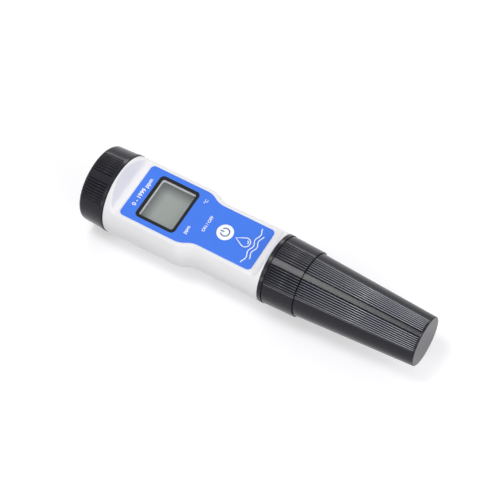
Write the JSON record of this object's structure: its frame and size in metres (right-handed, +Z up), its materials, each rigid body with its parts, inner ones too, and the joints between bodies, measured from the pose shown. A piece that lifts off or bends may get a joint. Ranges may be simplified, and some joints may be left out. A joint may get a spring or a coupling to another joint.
{
  "type": "total dissolved solids meter",
  "caption": "Pen-shaped water tester with a waisted white housing, display and power key on a sunk label, a ribbed screw cap over the battery and a ribbed cap over the electrodes.",
  "frame": {"origin": "on the ground under the middle of the instrument, which lies on its back with its long axis level", "axes": "+X along the long axis from the battery cap to the protective cap; +Z up, out of the label; +Y to the side that the lettering's lines run towards"},
  "size_m": [0.185, 0.0418, 0.0418],
  "materials": {
    "white_shell": "white moulded ABS, slight sheen",
    "blue_label": "printed polyester label, satin",
    "black_frame": "black printed frame",
    "clear_window": "clear acrylic, polished",
    "display_glass": "display glass, grey-green",
    "film": "polarising film",
    "white_key": "white moulded key",
    "black_shell": "black moulded ABS, fine satin",
    "black_module": "black moulded ABS",
    "board": "green glass-fibre board",
    "chip": "black chip housing",
    "small_part": "small ceramic parts",
    "nickel": "nickel-plated steel",
    "steel": "bright steel",
    "gold_pin": "gold-plated brass",
    "grey_holder": "grey moulded plastic",
    "black_rubber": "soft black rubber",
    "zebra_rubber": "layered silicone rubber",
    "red_wire": "red insulated wire",
    "black_wire": "black insulated wire"
  },
  "bodies": {
    "body": {"housing": "white_shell", "label_overlay": "blue_label", "window_frame": "black_frame", "display_window": "clear_window", "lcd_glass": "display_glass", "lcd_front_film": "film", "lcd_rear_film": "film", "zebra_strip_rear": "zebra_rubber", "zebra_strip_front": "zebra_rubber", "lcd_holder": "grey_holder", "switch_body": "chip", "circuit_board": "board", "controller_chip": "chip", "crystal_can": "steel", "chip_components": "small_part", "battery_holder": "grey_holder", "holder_screws": "steel", "battery_cell_1": "nickel", "battery_cell_2": "nickel", "battery_cell_3": "nickel", "battery_cell_4": "nickel", "battery_spring": "steel", "battery_base_contact": "nickel", "return_contact": "nickel", "battery_lead_positive": "red_wire", "battery_lead_negative": "black_wire", "battery_cap_seal": "black_rubber", "probe_socket": "black_module"},
    "contact_carrier": {"cap_contact_plate": "nickel"},
    "battery_cap": {"battery_cap": "black_shell"},
    "probe_module": {"probe_body": "black_module", "probe_barrel_seal": "black_rubber", "probe_cap_seal": "black_rubber", "electrode_left": "steel", "electrode_right": "steel", "thermometer": "nickel", "electrode_guard": "black_module", "plug_pins": "gold_pin"},
    "collar": {"collar": "black_shell", "collar_snap_ring": "steel"},
    "protective_cap": {"protective_cap": "black_shell"},
    "key": {"power_button": "white_key", "switch_plunger": "small_part"}
  },
  "joints": [
    {"name": "battery_cap_lift", "type": "slide", "parent": "body", "child": "contact_carrier", "axis": [-1, 0, 0], "range_m": [0, 0.0075]},
    {"name": "battery_cap_turn", "type": "hinge", "parent": "contact_carrier", "child": "battery_cap", "pos_m": [0, 0, 0.0209], "axis": [-1, 0, 0], "range_deg": [0, 1081.2]},
    {"name": "probe_release", "type": "slide", "parent": "body", "child": "probe_module", "axis": [1, 0, 0], "range_m": [0, 0.009]},
    {"name": "collar_turn", "type": "hinge", "parent": "probe_module", "child": "collar", "pos_m": [0, 0, 0.0209], "axis": [1, 0, 0], "range_deg": [0, 1081.2]},
    {"name": "cap_pull", "type": "slide", "parent": "probe_module", "child": "protective_cap", "axis": [1, 0, 0], "range_m": [0, 0.055]},
    {"name": "power_button_press", "type": "slide", "parent": "body", "child": "key", "axis": [0, 0, -1], "range_m": [0, 0.0004], "stiffness_N_per_m": 1000, "springref_m": -0.0005}
  ],
  "couplings": [
    {"joint": "battery_cap_turn", "follows": "battery_cap_lift", "rad_per_m": 2513.3},
    {"joint": "collar_turn", "follows": "probe_release", "rad_per_m": 2094.4}
  ]
}
